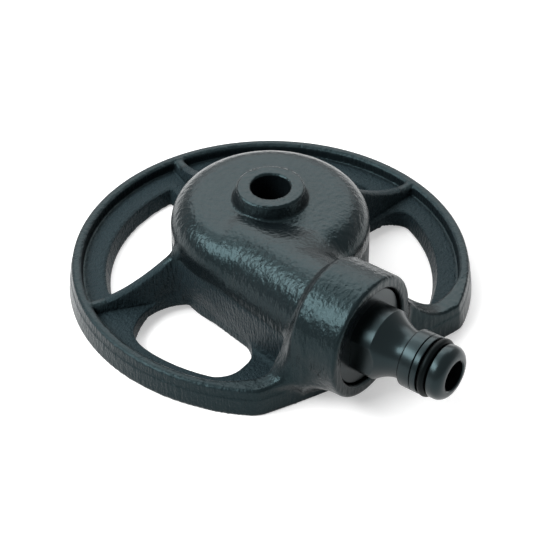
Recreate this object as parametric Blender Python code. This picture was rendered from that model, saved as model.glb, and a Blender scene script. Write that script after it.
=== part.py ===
# Stationary lawn sprinkler: a cast iron swirl-chamber head on a ring foot, with a screwed-in hose nipple.
# Metres, +Z up. The origin is on the ground, under the middle of the whole sprinkler, nipple included.
# The water inlet's axis is level and points out along -Y.

from math import acos, asin, ceil, cos, pi, radians, sin, sqrt

import bmesh
import bpy
from mathutils import Vector

for old in list(bpy.data.objects):
    bpy.data.objects.remove(old, do_unlink=True)

# Clearances
GAP = 0.0003                    # between pieces that touch or press together
THREAD_CLEARANCE = 0.00035      # radial, between the male and the female thread

# Ring foot
RING_RADIUS = 0.0590
RIM_HEIGHT = 0.0084
RIM_WIDTH = 0.0055
RIM_OUTER_ROUND = 0.0028
RIM_INNER_ROUND = 0.0013
RIM_BOTTOM_ROUND = 0.0014
RIM_FOOT_FILLET = 0.0008
WEB_TOP = 0.0052
WEB_THICKNESS = 0.0030          # the web and the head are clear of the ground; rim and flat side rest on it
RIM_WALL = 0.0120               # the solid band under the rim
FLAT_WALL = 0.0065              # the solid band along the flat side
RECESS_CORNER = 0.0050
FLAT_SIDE_CUT = 0.0100          # the flat side takes this much off the ring's radius
CHORD_ANGLE = radians(-112.0)   # the way that the flat side faces
CORNER_ROUND = 0.0025           # where the flat side meets the round one

# Wall on the foot's flat side, which climbs from the rim's two ends to the boss
WALL_THICKNESS = 0.0062
WALL_SETBACK = 0.0005           # from the flat side's face to the wall's
WALL_RISE = 0.0115
WALL_RISE_POWER = 1.9           # the climb is slow at the rim and steep at the boss
WALL_END = 0.0029               # the wall stops this far short of the sharp corner
WALL_SINK = 0.0003              # its ends lie this far under the rim's top
WALL_INNER_FACE = 0.62          # share of the thickness where the inner face stands, over its fillet
WALL_RIDGE = 0.33               # share of the thickness where the top is highest
WALL_FILLET_TOP = 0.75          # share of the height where the fillet meets the top's round
WALL_OUTER_ROUND = 0.60         # share of the height that the outer round takes

# Ribs from the dome to the rim
BACK_RIB_ANGLE = radians(67.0)
RIB_SPACING = radians(80.0)
RIB_TIP_HEIGHT = 0.0083
RIB_ROOT_HEIGHT = 0.0208
RIB_FOOT_WIDTH = 0.0084
RIB_RIDGE_WIDTH = 0.0018
RIB_CLIMB_POWER = 1.65

# Swirl chamber head
DOME_RADIUS = 0.0288
DOME_HEIGHT = 0.0304
DOME_SHOULDER = 0.0086
DOME_CROWN = 0.0003
DOME_WALL = 0.0040
ROOF_THICKNESS = 0.0048
CHAMBER_CORNER = 0.0060

# Nozzle collar
COLLAR_HEIGHT = 0.0043
COLLAR_FOOT_RADIUS = 0.0110
COLLAR_TOP_RADIUS = 0.0097
COLLAR_EDGE = 0.0004
NOZZLE_RADIUS = 0.0059

# Plug under the chamber
PLUG_THICKNESS = 0.0030
PLUG_LEDGE = 0.0014             # the seat's width round the chamber
PLUG_CHAMFER = 0.0004

# Inlet boss and the neck that joins it to the dome
INLET_OFFSET = 0.0207           # from the nozzle's axis towards -X
INLET_HEIGHT = 0.0182
BOSS_RADIUS = 0.0184
BOSS_LENGTH = 0.0162
BOSS_FACE = 0.0504              # from the nozzle's axis towards -Y
BOSS_FRONT_ROUND = 0.0016
BOSS_BACK_ROUND = 0.0024
NECK_TOP_STEP = 0.0021          # the boss stands this far proud of the neck's top
NECK_SIDE_STEP = 0.0035         # and this far proud of its sides
NECK_TUCK = 0.0012              # the flanks lean in by this much at the ground
NECK_DOME_RISE = 0.0143         # the arch over the neck's axis, where the neck runs out in the dome
NECK_DOME_HALF_WIDTH = 0.0127
NECK_DOME_SIDE = 0.0016         # the neck's flank there, in from the dome's side
NECK_DOME_Y = 0.0080
NECK_DOME_HEIGHT = 0.0165

# Inlet bores
SEAT_RADIUS = 0.0148            # counterbore that the adapter's flange sinks into
SEAT_DEPTH = 0.0069
SEAT_CHAMFER = 0.0006
PASSAGE_RADIUS = 0.0048
THREAD_BORE_DEPTH = 0.0124

# Hose adapter, along its own axis; s is measured outwards from the boss's face
FLANGE_RADIUS = 0.0138
FLANGE_THICKNESS = 0.0030
FLANGE_RECESS = 0.0013
HEX_ACROSS_FLATS = 0.0200
HEX_LENGTH = 0.0063             # s where the cove starts to scallop the corners
COVE_LENGTH = 0.0047
COVE_POWER = 0.9                # a little fuller than a quarter circle
WAIST_RADIUS = 0.0072
COLLAR_START = 0.0126
NIPPLE_COLLAR_RADIUS = 0.0085
NIPPLE_GROOVE_START = 0.0204
NIPPLE_GROOVE_WIDTH = 0.0034
NIPPLE_GROOVE_RADIUS = 0.0060
NIPPLE_TIP_RADIUS = 0.0079
NIPPLE_LENGTH = 0.0278
NIPPLE_NOSE = 0.0021
LINE_GROOVE_DEPTH = 0.00025
LINE_GROOVE_WIDTH = 0.0004
LINE_GROOVE_SPACING = 0.0032    # from the start of the collar to the first fine line, and on to the next
WATERWAY_RADIUS = 0.00457

# Pipe thread on the adapter
THREAD_PITCH = 0.001814
THREAD_CREST_RADIUS = 0.01040
THREAD_DEPTH = 0.00100
THREAD_LENGTH = 0.0109
THREAD_WALL = 0.0020

# Rubber
WASHER_THICKNESS = 0.0020
O_RING_SECTION = 0.0024

# Openings through the foot; a land is measured from a rib's centre line
FRONT_OPENING_CORNER = 0.0068
SIDE_OPENING_CORNER = 0.0036
OPENING_DRAFT = 0.0016          # the walls lean in by this much at the ground
OPENING_UNDERCUT = 0.0025       # how far an opening's cutter reaches in under the head
MOST_CORNER = 0.48              # largest share of a side that a corner's round may take
FRONT_OPENING_MARGIN = 0.0080   # from the ring's outside to the opening beside the neck
SIDE_OPENING_MARGIN = 0.0096
BACK_OPENING_MARGIN = 0.0104
FRONT_LAND_AT_HEAD = 0.0035
FRONT_LAND_AT_RIM = 0.0085
SIDE_LAND_LEFT_RIB = 0.0052
SIDE_LAND_BACK_RIB = 0.0085
BACK_LAND = 0.0080
FRONT_OPENING_END = 0.0294      # how far the opening beside the neck stops short of the boss's face
RIGHT_OPENING_END_AT_HEAD = radians(-71.0)
RIGHT_OPENING_END_AT_RIM = radians(-79.0)

# Facets
RING_STEPS = 72
DOME_STEPS = 60
BORE_STEPS = 36
ADAPTER_STEPS = 36
O_RING_STEPS = 32
O_RING_SECTION_STEPS = 10
ARC_STEPS = 4
OPENING_STEPS = 9
WALL_STATIONS = 5
RIB_STATIONS = 9
NECK_STATIONS = 6
NECK_STEPS = 18
COVE_STEPS = 7
THREAD_COLUMNS = 20
THREAD_ROWS_PER_TURN = 6

# Sizes that follow from the ones above
BELOW = -0.0020                 # cast shapes start under the ground plane and are trimmed to it
SPILL = 0.0010                  # a cutter runs this far past the face that it opens
FAR = 0.0800                    # past the foot on every side
CHORD_DISTANCE = RING_RADIUS - FLAT_SIDE_CUT
NOZZLE_Y = (BOSS_FACE + NIPPLE_LENGTH - RING_RADIUS) / 2.0
RIB_ANGLES = {
    "left": BACK_RIB_ANGLE + RIB_SPACING,
    "back": BACK_RIB_ANGLE,
    "right": BACK_RIB_ANGLE - RIB_SPACING,
}
UNDERSIDE = WEB_TOP - WEB_THICKNESS
COLLAR_TOP = DOME_HEIGHT + DOME_CROWN + COLLAR_HEIGHT
CHAMBER_RADIUS = DOME_RADIUS - DOME_WALL
CHAMBER_TOP = DOME_HEIGHT - ROOF_THICKNESS
PLUG_BORE_RADIUS = CHAMBER_RADIUS + PLUG_LEDGE
PLUG_SEAT = UNDERSIDE + PLUG_THICKNESS + GAP
FLANGE_FRONT = -FLANGE_RECESS
FLANGE_BACK = FLANGE_FRONT - FLANGE_THICKNESS
SEAT_FLOOR = -SEAT_DEPTH
WASHER_FRONT = FLANGE_BACK - GAP
HEX_CORNER_RADIUS = HEX_ACROSS_FLATS / sqrt(3.0)
THREAD_ROOT_RADIUS = THREAD_CREST_RADIUS - THREAD_DEPTH
O_RING_RADIUS = NIPPLE_GROOVE_RADIUS + GAP + O_RING_SECTION / 2.0
GROOVE_CENTRE = NIPPLE_GROOVE_START + NIPPLE_GROOVE_WIDTH / 2.0


def make_object(name, mesh_builder):
    mesh = bpy.data.meshes.new(name)
    bmesh.ops.remove_doubles(mesh_builder, verts=mesh_builder.verts, dist=1e-7)
    bmesh.ops.recalc_face_normals(mesh_builder, faces=mesh_builder.faces)
    mesh_builder.to_mesh(mesh)
    mesh_builder.free()
    made = bpy.data.objects.new(name, mesh)
    bpy.context.scene.collection.objects.link(made)
    return made


def arc(centre, radius, start, end, steps=ARC_STEPS):
    # Points of a circular arc in degrees, both ends included
    turns = [radians(start + (end - start) * i / steps) for i in range(steps + 1)]
    return [(centre[0] + radius * cos(t), centre[1] + radius * sin(t)) for t in turns]


def turned(name, profile, steps, closed=False):
    # Turns (radius, height) points round Z: an open profile runs down from pole to pole
    builder = bmesh.new()
    points = [builder.verts.new((radius, 0.0, height)) for radius, height in profile]
    edges = [builder.edges.new(pair) for pair in zip(points, points[1:])]
    if closed:
        edges.append(builder.edges.new((points[-1], points[0])))
    bmesh.ops.spin(builder, geom=points + edges, cent=(0, 0, 0), axis=(0, 0, 1),
                   angle=2.0 * pi, steps=steps, use_merge=True)
    bmesh.ops.remove_doubles(builder, verts=builder.verts, dist=1e-6)
    return make_object(name, builder)


def prism(name, outline, low, high):
    builder = bmesh.new()
    floor = builder.faces.new([builder.verts.new((x, y, low)) for x, y in outline])
    raised = bmesh.ops.extrude_face_region(builder, geom=[floor])
    tops = [item for item in raised["geom"] if isinstance(item, bmesh.types.BMVert)]
    bmesh.ops.translate(builder, verts=tops, vec=(0, 0, high - low))
    return make_object(name, builder)


def lofted(name, sections):
    # Joins sections of equal point counts and closes both ends
    builder = bmesh.new()
    rings = [[builder.verts.new(point) for point in section] for section in sections]
    for near, far in zip(rings, rings[1:]):
        for i in range(len(near)):
            j = (i + 1) % len(near)
            builder.faces.new((near[i], near[j], far[j], far[i]))
    builder.faces.new(rings[0])
    builder.faces.new(rings[-1])
    return make_object(name, builder)


def combine(target, tool, operation):
    step = target.modifiers.new(tool.name, "BOOLEAN")
    step.operation = operation
    step.solver = "EXACT"
    step.object = tool
    tool.hide_render = True
    tool.display_type = "WIRE"


def finish_round(made, angle=32.0):
    # Smooth round faces, with crisp edges past the angle
    made.data.shade_smooth()
    made.data.set_sharp_from_angle(angle=radians(angle))


def give_material(made, name, colour, metallic, roughness):
    material = bpy.data.materials.new(name)
    material.use_nodes = True
    shader = material.node_tree.nodes["Principled BSDF"]
    shader.inputs["Base Color"].default_value = (*colour, 1.0)
    shader.inputs["Metallic"].default_value = metallic
    shader.inputs["Roughness"].default_value = roughness
    made.data.materials.clear()
    made.data.materials.append(material)


def add_axis(name, place, turn, parent=None):
    # An empty that pieces hang from
    axis = bpy.data.objects.new(name, None)
    axis.location = place
    axis.rotation_euler = turn
    axis.parent = parent
    bpy.context.scene.collection.objects.link(axis)
    return axis


# Foot

def ring_profile():
    inner = RING_RADIUS - RIM_WIDTH
    fillet = (inner - RIM_FOOT_FILLET, WEB_TOP + RIM_FOOT_FILLET)
    inner_round = (inner + RIM_INNER_ROUND, RIM_HEIGHT - RIM_INNER_ROUND)
    outer_round = (RING_RADIUS - RIM_OUTER_ROUND, RIM_HEIGHT - RIM_OUTER_ROUND)
    bottom_round = (RING_RADIUS - RIM_BOTTOM_ROUND, RIM_BOTTOM_ROUND)
    profile = [(0.0, WEB_TOP)]
    profile += arc(fillet, RIM_FOOT_FILLET, -90.0, 0.0, 2)
    profile += arc(inner_round, RIM_INNER_ROUND, 180.0, 90.0, 3)
    profile += arc(outer_round, RIM_OUTER_ROUND, 90.0, 0.0)
    profile += arc(bottom_round, RIM_BOTTOM_ROUND, 0.0, -90.0, 3)
    profile += [(0.0, 0.0)]
    return profile


def flat_sided_disc(radius, across, corner, far):
    # A disc of a radius with one flat side and rounded corners; far is the radius drawn past the corners
    half = acos((across - corner) / (radius - corner))
    bend = ARC_STEPS + 2
    sides = []
    for side in (-1.0, 1.0):
        centre_turn = CHORD_ANGLE + side * half
        centre = ((radius - corner) * cos(centre_turn), (radius - corner) * sin(centre_turn))
        turns = [CHORD_ANGLE + side * half * i / bend for i in range(bend + 1)]
        points = [(centre[0] + corner * cos(t), centre[1] + corner * sin(t)) for t in turns]
        if far > radius:
            points.append((far * cos(centre_turn), far * sin(centre_turn)))
        sides.append(points)
    start = CHORD_ANGLE + half
    sweep = 2.0 * (pi - half)
    turns = [start + sweep * i / RING_STEPS for i in range(1, RING_STEPS)]
    back = [(far * cos(t), far * sin(t)) for t in turns]
    return sides[1] + back + sides[0][::-1]


def rounded_cell(along, across, corner):
    # Points of a rounded rectangle in shares of its two sides, counter-clockwise
    a = min(corner / along, MOST_CORNER)
    b = min(corner / across, MOST_CORNER)
    points = []
    for i in range(OPENING_STEPS):
        points.append((a + (1.0 - 2.0 * a) * i / OPENING_STEPS, 0.0))
    points += [(1.0 - a + a * x, b + b * y) for x, y in arc((0, 0), 1.0, -90.0, 0.0)]
    points += [(1.0 - a + a * x, 1.0 - b + b * y) for x, y in arc((0, 0), 1.0, 0.0, 90.0)]
    for i in range(1, OPENING_STEPS):
        points.append((1.0 - a - (1.0 - 2.0 * a) * i / OPENING_STEPS, 1.0))
    points += [(a + a * x, 1.0 - b + b * y) for x, y in arc((0, 0), 1.0, 90.0, 180.0)]
    points += [(a + a * x, b + b * y) for x, y in arc((0, 0), 1.0, 180.0, 270.0)[:-1]]
    return points


def opening(name, inner, outer, corner):
    # inner and outer give a point for each share of the way along the opening's two long sides
    across = (inner(0.5) - outer(0.5)).length
    along = (outer(1.0) - outer(0.0)).length
    levels = ((WEB_TOP + SPILL, 0.0), (WEB_TOP, 0.0), (0.0, OPENING_DRAFT), (BELOW, OPENING_DRAFT))
    sections = []
    for height, lean in levels:
        section = []
        for u, v in rounded_cell(along, across, corner):
            u = 0.5 + (u - 0.5) * (1.0 - 2.0 * lean / along)
            place = inner(u).lerp(outer(u), v * (1.0 - lean / across))
            section.append((place.x, place.y, height))
        sections.append(section)
    return lofted(name, sections)


def ring_side(radius, start, end):
    def place(share):
        turn = start + (end - start) * share
        return Vector((radius * cos(turn), radius * sin(turn)))
    return place


def straight_side(start, end):
    def place(share):
        return Vector(start).lerp(Vector(end), share)
    return place


def beside_rib(side, radius, land):
    # The angle at a radius where a rib's land ends
    return RIB_ANGLES[side] + asin(land / radius)


def between_ribs(name, first, last, margin, first_land, last_land):
    low = DOME_RADIUS - OPENING_UNDERCUT
    high = RING_RADIUS - margin
    inner = ring_side(low, beside_rib(first, low, first_land), beside_rib(last, low, -last_land))
    outer = ring_side(high, beside_rib(first, high, first_land), beside_rib(last, high, -last_land))
    return opening(name, inner, outer, SIDE_OPENING_CORNER)


def neck_place(y):
    # Share of the way along the neck, and the arch's centre and half width there
    far = -(BOSS_FACE - BOSS_LENGTH)
    share = (NECK_DOME_Y - y) / (NECK_DOME_Y - far)
    near_x = NECK_DOME_HALF_WIDTH + NECK_DOME_SIDE - DOME_RADIUS
    x = near_x + (-INLET_OFFSET - near_x) * share
    half = NECK_DOME_HALF_WIDTH + (BOSS_RADIUS - NECK_SIDE_STEP - NECK_DOME_HALF_WIDTH) * share
    return share, x, half


def neck_flank(y):
    share, x, half = neck_place(y)
    return x - half


def left_front_opening():
    # Runs along the neck's flank, whose foot is its inner edge
    low = DOME_RADIUS - OPENING_UNDERCUT
    high = RING_RADIUS - FRONT_OPENING_MARGIN
    start_in = beside_rib("left", low, FRONT_LAND_AT_HEAD)
    start_out = beside_rib("left", high, FRONT_LAND_AT_RIM)
    front = -(BOSS_FACE - FRONT_OPENING_END)
    end_in = (neck_flank(front) + OPENING_UNDERCUT, front)
    inner = straight_side((low * cos(start_in), low * sin(start_in)), end_in)
    outer = ring_side(high, start_out, pi - asin(front / high))
    return opening("left_front_opening", inner, outer, FRONT_OPENING_CORNER)


def right_opening():
    low = DOME_RADIUS - OPENING_UNDERCUT
    high = RING_RADIUS - SIDE_OPENING_MARGIN
    inner = ring_side(low, RIGHT_OPENING_END_AT_HEAD, beside_rib("right", low, -FRONT_LAND_AT_HEAD))
    outer = ring_side(high, RIGHT_OPENING_END_AT_RIM, beside_rib("right", high, -FRONT_LAND_AT_RIM))
    return opening("right_opening", inner, outer, FRONT_OPENING_CORNER)


def flat_side_wall():
    outward = Vector((cos(CHORD_ANGLE), sin(CHORD_ANGLE)))
    along = Vector((-outward.y, outward.x))
    boss = Vector((-INLET_OFFSET, BOSS_LENGTH / 2.0 - BOSS_FACE)).dot(along)
    end = sqrt(RING_RADIUS ** 2 - CHORD_DISTANCE ** 2) - WALL_END
    stations = []
    for side in (-1.0, 1.0):
        near = boss + side * BOSS_RADIUS
        shares = [i / WALL_STATIONS for i in range(WALL_STATIONS + 1)]
        half = [(side * end + (near - side * end) * share, share) for share in shares]
        stations += half if side < 0.0 else half[::-1]
    # Across the wall, from its inner foot over the top to its outer face, in shares of its two sizes
    foot = 1.0 - WALL_INNER_FACE
    inner_round = WALL_INNER_FACE - WALL_RIDGE
    shape = [(1.0 + foot * x, WALL_FILLET_TOP * (1.0 + y)) for x, y in arc((0, 0), 1.0, -90.0, -180.0)]
    shape += [(WALL_RIDGE + inner_round * x, WALL_FILLET_TOP + (1.0 - WALL_FILLET_TOP) * y)
              for x, y in arc((0, 0), 1.0, 0.0, 90.0)[1:]]
    shape += [(WALL_RIDGE * (1.0 + x), 1.0 - WALL_OUTER_ROUND * (1.0 - y))
              for x, y in arc((0, 0), 1.0, 90.0, 180.0)[1:]]
    shape = [(1.0, None)] + shape + [(0.0, None)]
    sections = []
    for place, share in stations:
        top = RIM_HEIGHT - WALL_SINK + WALL_RISE * share ** WALL_RISE_POWER
        section = []
        for inward, tall in shape:
            out = CHORD_DISTANCE - WALL_SETBACK - WALL_THICKNESS * inward
            spot = outward * out + along * place
            section.append((spot.x, spot.y, BELOW if tall is None else WEB_TOP + (top - WEB_TOP) * tall))
        sections.append(section)
    return lofted("flat_side_wall", sections)


def rib_height(radius):
    tip = RING_RADIUS - RIM_WIDTH
    share = min(max((tip - radius) / (tip - DOME_RADIUS), 0.0), 1.1)
    return RIB_TIP_HEIGHT + (RIB_ROOT_HEIGHT - RIB_TIP_HEIGHT) * share ** RIB_CLIMB_POWER


def rib(side):
    # The cross-section narrows in steps from its foot to its ridge
    turn = RIB_ANGLES[side]
    start = DOME_RADIUS - DOME_WALL / 2.0
    end = RING_RADIUS - RIM_WIDTH / 2.0
    foot = RIB_FOOT_WIDTH / 2.0
    ridge = RIB_RIDGE_WIDTH / 2.0
    sections = []
    for i in range(RIB_STATIONS + 1):
        radius = start + (end - start) * i / RIB_STATIONS
        rise = rib_height(radius) - WEB_TOP
        steps = ((1.0, 0.0), (0.68, 0.25), (0.42, 0.62), (0.2, 0.9), (0.0, 1.0))
        half = [(ridge + (foot - ridge) * wide, WEB_TOP + rise * tall) for wide, tall in steps]
        half = [(foot, BELOW)] + half
        whole = half + [(-wide, tall) for wide, tall in reversed(half)]
        sections.append([(radius * cos(turn) - wide * sin(turn), radius * sin(turn) + wide * cos(turn), tall)
                         for wide, tall in whole])
    return lofted(side + "_rib", sections)


# Head

def dome_profile():
    shoulder = (DOME_RADIUS - DOME_SHOULDER, DOME_HEIGHT - DOME_SHOULDER)
    crown = DOME_HEIGHT + DOME_CROWN
    profile = [(0.0, COLLAR_TOP), (COLLAR_TOP_RADIUS - COLLAR_EDGE, COLLAR_TOP)]
    profile += [(COLLAR_TOP_RADIUS, COLLAR_TOP - COLLAR_EDGE)]
    profile += [(COLLAR_FOOT_RADIUS - COLLAR_EDGE, crown + 2.0 * COLLAR_EDGE)]
    profile += [(COLLAR_FOOT_RADIUS + COLLAR_EDGE, crown)]
    profile += arc(shoulder, DOME_SHOULDER, 90.0, 0.0, 7)
    profile += [(DOME_RADIUS, BELOW), (0.0, BELOW)]
    return profile


def chamber_profile():
    # The plug's bore, the seat, and the swirl chamber with its rounded roof
    corner = (CHAMBER_RADIUS - CHAMBER_CORNER, CHAMBER_TOP - CHAMBER_CORNER)
    profile = [(0.0, CHAMBER_TOP)]
    profile += arc(corner, CHAMBER_CORNER, 90.0, 0.0)
    profile += [(CHAMBER_RADIUS, PLUG_SEAT), (PLUG_BORE_RADIUS, PLUG_SEAT)]
    profile += [(PLUG_BORE_RADIUS, BELOW - SPILL), (0.0, BELOW - SPILL)]
    return profile


def neck():
    # Arch sections from the dome to the boss
    far = -(BOSS_FACE - BOSS_LENGTH) - BOSS_BACK_ROUND / 2.0
    sections = []
    for i in range(NECK_STATIONS + 1):
        y = NECK_DOME_Y + (far - NECK_DOME_Y) * i / NECK_STATIONS
        share, x, half = neck_place(y)
        z = NECK_DOME_HEIGHT + (INLET_HEIGHT - NECK_DOME_HEIGHT) * share
        rise = NECK_DOME_RISE + (BOSS_RADIUS - NECK_TOP_STEP - NECK_DOME_RISE) * share
        arch = [(x + half * px, z + rise * pz) for px, pz in arc((0, 0), 1.0, 0.0, 180.0, NECK_STEPS)]
        foot = half - NECK_TUCK
        outline = [(x + foot, BELOW)] + arch + [(x - foot, BELOW)]
        sections.append([(px, y, pz) for px, pz in outline])
    return lofted("neck", sections)


def boss_profile():
    back = (BOSS_RADIUS - BOSS_BACK_ROUND, BOSS_BACK_ROUND - BOSS_LENGTH)
    front = (BOSS_RADIUS - BOSS_FRONT_ROUND, -BOSS_FRONT_ROUND)
    profile = [(0.0, 0.0)]
    profile += arc(front, BOSS_FRONT_ROUND, 90.0, 0.0, 3)
    profile += arc(back, BOSS_BACK_ROUND, 0.0, -90.0, 3)
    profile += [(0.0, -BOSS_LENGTH)]
    return profile


def seat_profile():
    # The counterbore, with a chamfer at the boss's face
    return [(0.0, SPILL), (SEAT_RADIUS + SEAT_CHAMFER + SPILL, SPILL), (SEAT_RADIUS, -SEAT_CHAMFER),
            (SEAT_RADIUS, SEAT_FLOOR), (0.0, SEAT_FLOOR)]


def rod(name, radius, low, high, steps):
    return turned(name, [(0.0, high), (radius, high), (radius, low), (0.0, low)], steps)


# Thread: a rounded right-hand profile, so that turning it and moving it a pitch a turn keeps it in mesh

def thread_radius(turn, height, extra):
    middle = (THREAD_CREST_RADIUS + THREAD_ROOT_RADIUS) / 2.0 + extra
    return middle + THREAD_DEPTH / 2.0 * cos(turn - 2.0 * pi * height / THREAD_PITCH)


def threaded(name, low, high, extra, core):
    # core is the radius of the sleeve's inside, or 0 for a solid rod
    rows = ceil((high - low) / THREAD_PITCH * THREAD_ROWS_PER_TURN)
    builder = bmesh.new()
    shell = []
    for j in range(rows + 1):
        height = low + (high - low) * j / rows
        ring = []
        for i in range(THREAD_COLUMNS):
            turn = 2.0 * pi * i / THREAD_COLUMNS
            radius = thread_radius(turn, height, extra)
            ring.append(builder.verts.new((radius * cos(turn), radius * sin(turn), height)))
        shell.append(ring)
    loops = list(shell)
    if core:
        for height in (high, low):
            turns = [2.0 * pi * i / THREAD_COLUMNS for i in range(THREAD_COLUMNS)]
            loops.append([builder.verts.new((core * cos(t), core * sin(t), height)) for t in turns])
        loops.append(shell[0])
    for near, far in zip(loops, loops[1:]):
        for i in range(THREAD_COLUMNS):
            j = (i + 1) % THREAD_COLUMNS
            builder.faces.new((near[i], near[j], far[j]))
            builder.faces.new((near[i], far[j], far[i]))
    if not core:
        builder.faces.new(shell[0])
        builder.faces.new(shell[-1])
    return make_object(name, builder)


# Hose adapter

def line_groove(start):
    # A fine turned line across the collar
    low = NIPPLE_COLLAR_RADIUS - LINE_GROOVE_DEPTH
    half = LINE_GROOVE_WIDTH / 2.0
    return [(NIPPLE_COLLAR_RADIUS, start + half), (low, start), (NIPPLE_COLLAR_RADIUS, start - half)]


def adapter_profile():
    # Runs from the nose back to the threaded tail, then out again through the waterway
    groove_end = NIPPLE_GROOVE_START + NIPPLE_GROOVE_WIDTH
    nose = (NIPPLE_TIP_RADIUS - NIPPLE_NOSE, NIPPLE_LENGTH - NIPPLE_NOSE)
    shoulder = NIPPLE_COLLAR_RADIUS - WAIST_RADIUS
    tail = FLANGE_BACK - THREAD_LENGTH
    tail_bore = THREAD_ROOT_RADIUS - THREAD_WALL
    sleeve = THREAD_ROOT_RADIUS - THREAD_WALL / 4.0
    profile = arc(nose, NIPPLE_NOSE, 90.0, 0.0)
    profile += [(NIPPLE_TIP_RADIUS, groove_end), (NIPPLE_GROOVE_RADIUS, groove_end)]
    profile += [(NIPPLE_GROOVE_RADIUS, NIPPLE_GROOVE_START), (NIPPLE_COLLAR_RADIUS, NIPPLE_GROOVE_START)]
    profile += line_groove(COLLAR_START + shoulder + LINE_GROOVE_SPACING)
    profile += [(NIPPLE_COLLAR_RADIUS, COLLAR_START + shoulder), (WAIST_RADIUS, COLLAR_START)]
    profile += [(WAIST_RADIUS, FLANGE_FRONT), (FLANGE_RADIUS, FLANGE_FRONT)]
    profile += [(FLANGE_RADIUS, FLANGE_BACK), (sleeve, FLANGE_BACK), (sleeve, tail + GAP)]
    profile += [(tail_bore, tail + GAP), (tail_bore, FLANGE_BACK), (WATERWAY_RADIUS, FLANGE_FRONT)]
    profile += [(WATERWAY_RADIUS, NIPPLE_LENGTH)]
    return profile


def cove_profile():
    # Bounds the hexagon: full at its corners, then swept in a cove down to the waist
    deep = WAIST_RADIUS - GAP
    wide = HEX_CORNER_RADIUS + GAP
    cove = []
    for i in range(COVE_STEPS + 1):
        turn = pi / 2.0 * i / COVE_STEPS
        radius = deep + (wide - deep) * (1.0 - sin(turn)) ** COVE_POWER
        cove.append((radius, HEX_LENGTH + COVE_LENGTH * (1.0 - cos(turn)) ** COVE_POWER))
    return [(0.0, cove[-1][1])] + cove[::-1] + [(wide, FLANGE_BACK), (0.0, FLANGE_BACK)]


def hexagon():
    turns = [radians(90.0 + 60.0 * i) for i in range(6)]
    outline = [(HEX_CORNER_RADIUS * cos(t), HEX_CORNER_RADIUS * sin(t)) for t in turns]
    return prism("adapter_hexagon", outline, FLANGE_FRONT - FLANGE_THICKNESS / 2.0,
                 HEX_LENGTH + COVE_LENGTH - GAP)


def build_adapter(axis):
    adapter = turned("hose_adapter", adapter_profile(), ADAPTER_STEPS, closed=True)
    hexes = hexagon()
    cove = turned("adapter_cove", cove_profile(), ADAPTER_STEPS)
    waterway = rod("adapter_waterway", WATERWAY_RADIUS, FLANGE_BACK - SPILL, NIPPLE_LENGTH + SPILL,
                   ADAPTER_STEPS)
    combine(hexes, cove, "INTERSECT")
    combine(adapter, hexes, "UNION")
    combine(adapter, waterway, "DIFFERENCE")
    sleeve = threaded("adapter_thread", FLANGE_BACK - THREAD_LENGTH, FLANGE_BACK + FLANGE_THICKNESS / 4.0,
                      0.0, THREAD_ROOT_RADIUS - THREAD_WALL / 2.0)
    combine(adapter, sleeve, "UNION")
    for piece in (adapter, hexes, cove, waterway, sleeve):
        piece.parent = axis
    finish_round(adapter)
    give_material(adapter, "black_moulded_plastic", (0.018, 0.020, 0.021), 0.0, 0.32)


def build_rubber(axis):
    inside = THREAD_CREST_RADIUS + GAP
    washer = turned("adapter_washer", [(inside, WASHER_FRONT), (FLANGE_RADIUS, WASHER_FRONT),
                                       (FLANGE_RADIUS, WASHER_FRONT - WASHER_THICKNESS),
                                       (inside, WASHER_FRONT - WASHER_THICKNESS)], ADAPTER_STEPS, closed=True)
    section = arc((O_RING_RADIUS, GROOVE_CENTRE), O_RING_SECTION / 2.0, 0.0, 360.0, O_RING_SECTION_STEPS)[:-1]
    o_ring = turned("nipple_o_ring", section, O_RING_STEPS, closed=True)
    for piece in (washer, o_ring):
        piece.parent = axis
        finish_round(piece)
        give_material(piece, "black_rubber", (0.012, 0.012, 0.013), 0.0, 0.55)


def build_plug():
    edge = PLUG_BORE_RADIUS - GAP
    top = UNDERSIDE + PLUG_THICKNESS
    plug = turned("chamber_plug", [(0.0, top), (edge - PLUG_CHAMFER, top), (edge, top - PLUG_CHAMFER),
                                   (edge, UNDERSIDE), (0.0, UNDERSIDE)], DOME_STEPS)
    finish_round(plug)
    give_material(plug, "painted_steel", (0.070, 0.085, 0.088), 0.0, 0.45)


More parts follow.
